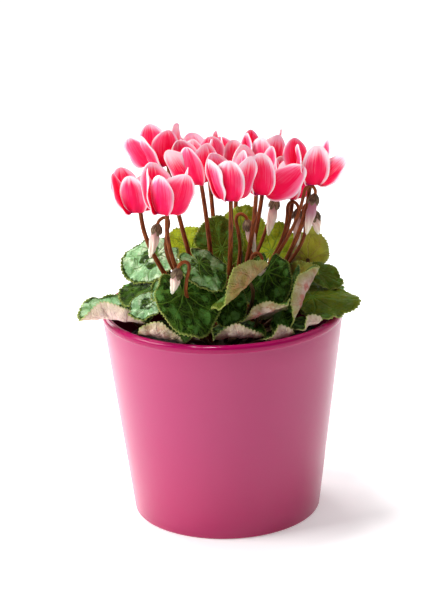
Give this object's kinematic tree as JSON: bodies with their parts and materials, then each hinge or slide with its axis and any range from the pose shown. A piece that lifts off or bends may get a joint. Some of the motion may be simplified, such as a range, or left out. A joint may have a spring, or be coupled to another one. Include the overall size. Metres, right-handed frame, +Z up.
{
  "type": "potted cyclamen",
  "caption": "Mini cyclamen in bloom with marbled heart-shaped leaves, swept-back pink petals and hooked stems, in a tapered glazed planter.",
  "frame": {"origin": "centre of the pot's foot, on the surface that it stands on", "axes": "+Z up along the pot's axis; -Y towards the viewer of the picture, +X to the viewer's right"},
  "size_m": [0.1624, 0.1459, 0.2312],
  "materials": {
    "glaze": "satin magenta glaze with a glossy rim",
    "soil": "dark crumbly potting soil",
    "tuber": "corky bark",
    "leaf": "waxy green with silver marbling, pale pink underneath",
    "stem": "fleshy brown-red stalk",
    "petal": "velvety pink with pale margins",
    "bud": "furled pale pink petals with a brown-green calyx"
  },
  "bodies": {
    "root": {"pot": "glaze", "tuber": "tuber", "soil": "soil", "flower_stem_a": "stem", "bloom_a": "petal", "flower_stem_b": "stem", "bloom_b": "petal", "flower_stem_c": "stem", "bloom_c": "petal", "flower_stem_d": "stem", "bloom_d": "petal", "flower_stem_e": "stem", "bloom_e": "petal", "flower_stem_f": "stem", "bloom_f": "petal", "flower_stem_g": "stem", "bloom_g": "petal", "flower_stem_h": "stem", "bloom_h": "petal", "flower_stem_i": "stem", "bloom_i": "petal", "flower_stem_j": "stem", "bloom_j": "petal", "flower_stem_k": "stem", "bloom_k": "petal", "bud_left": "bud", "bud_front_left": "bud", "bud_middle": "bud", "bud_middle_right": "bud", "bud_right": "bud", "bud_upper_right": "bud", "bud_low_right": "bud", "bud_young": "bud", "leaf_front_left": "leaf", "leaf_inner_left": "leaf", "leaf_folded": "leaf", "leaf_dark_right": "leaf", "leaf_upper_left": "leaf", "leaf_mid_left": "leaf", "leaf_far_left": "leaf", "leaf_mint": "leaf", "leaf_left_curl": "leaf", "leaf_rim_left": "leaf", "leaf_silver": "leaf", "leaf_rolled_front": "leaf", "leaf_rolled_right": "leaf", "leaf_rim_front": "leaf", "leaf_rim_mid": "leaf", "leaf_rim_right": "leaf", "leaf_far_right": "leaf", "leaf_right_small": "leaf", "leaf_right_fold": "leaf", "leaf_upright": "leaf", "leaf_back_left": "leaf", "leaf_back_mid": "leaf", "leaf_back_small": "leaf", "leaf_back_right": "leaf", "leaf_behind_middle": "leaf", "leaf_behind_left": "leaf", "leaf_behind_right": "leaf"}
  },
  "joints": []
}
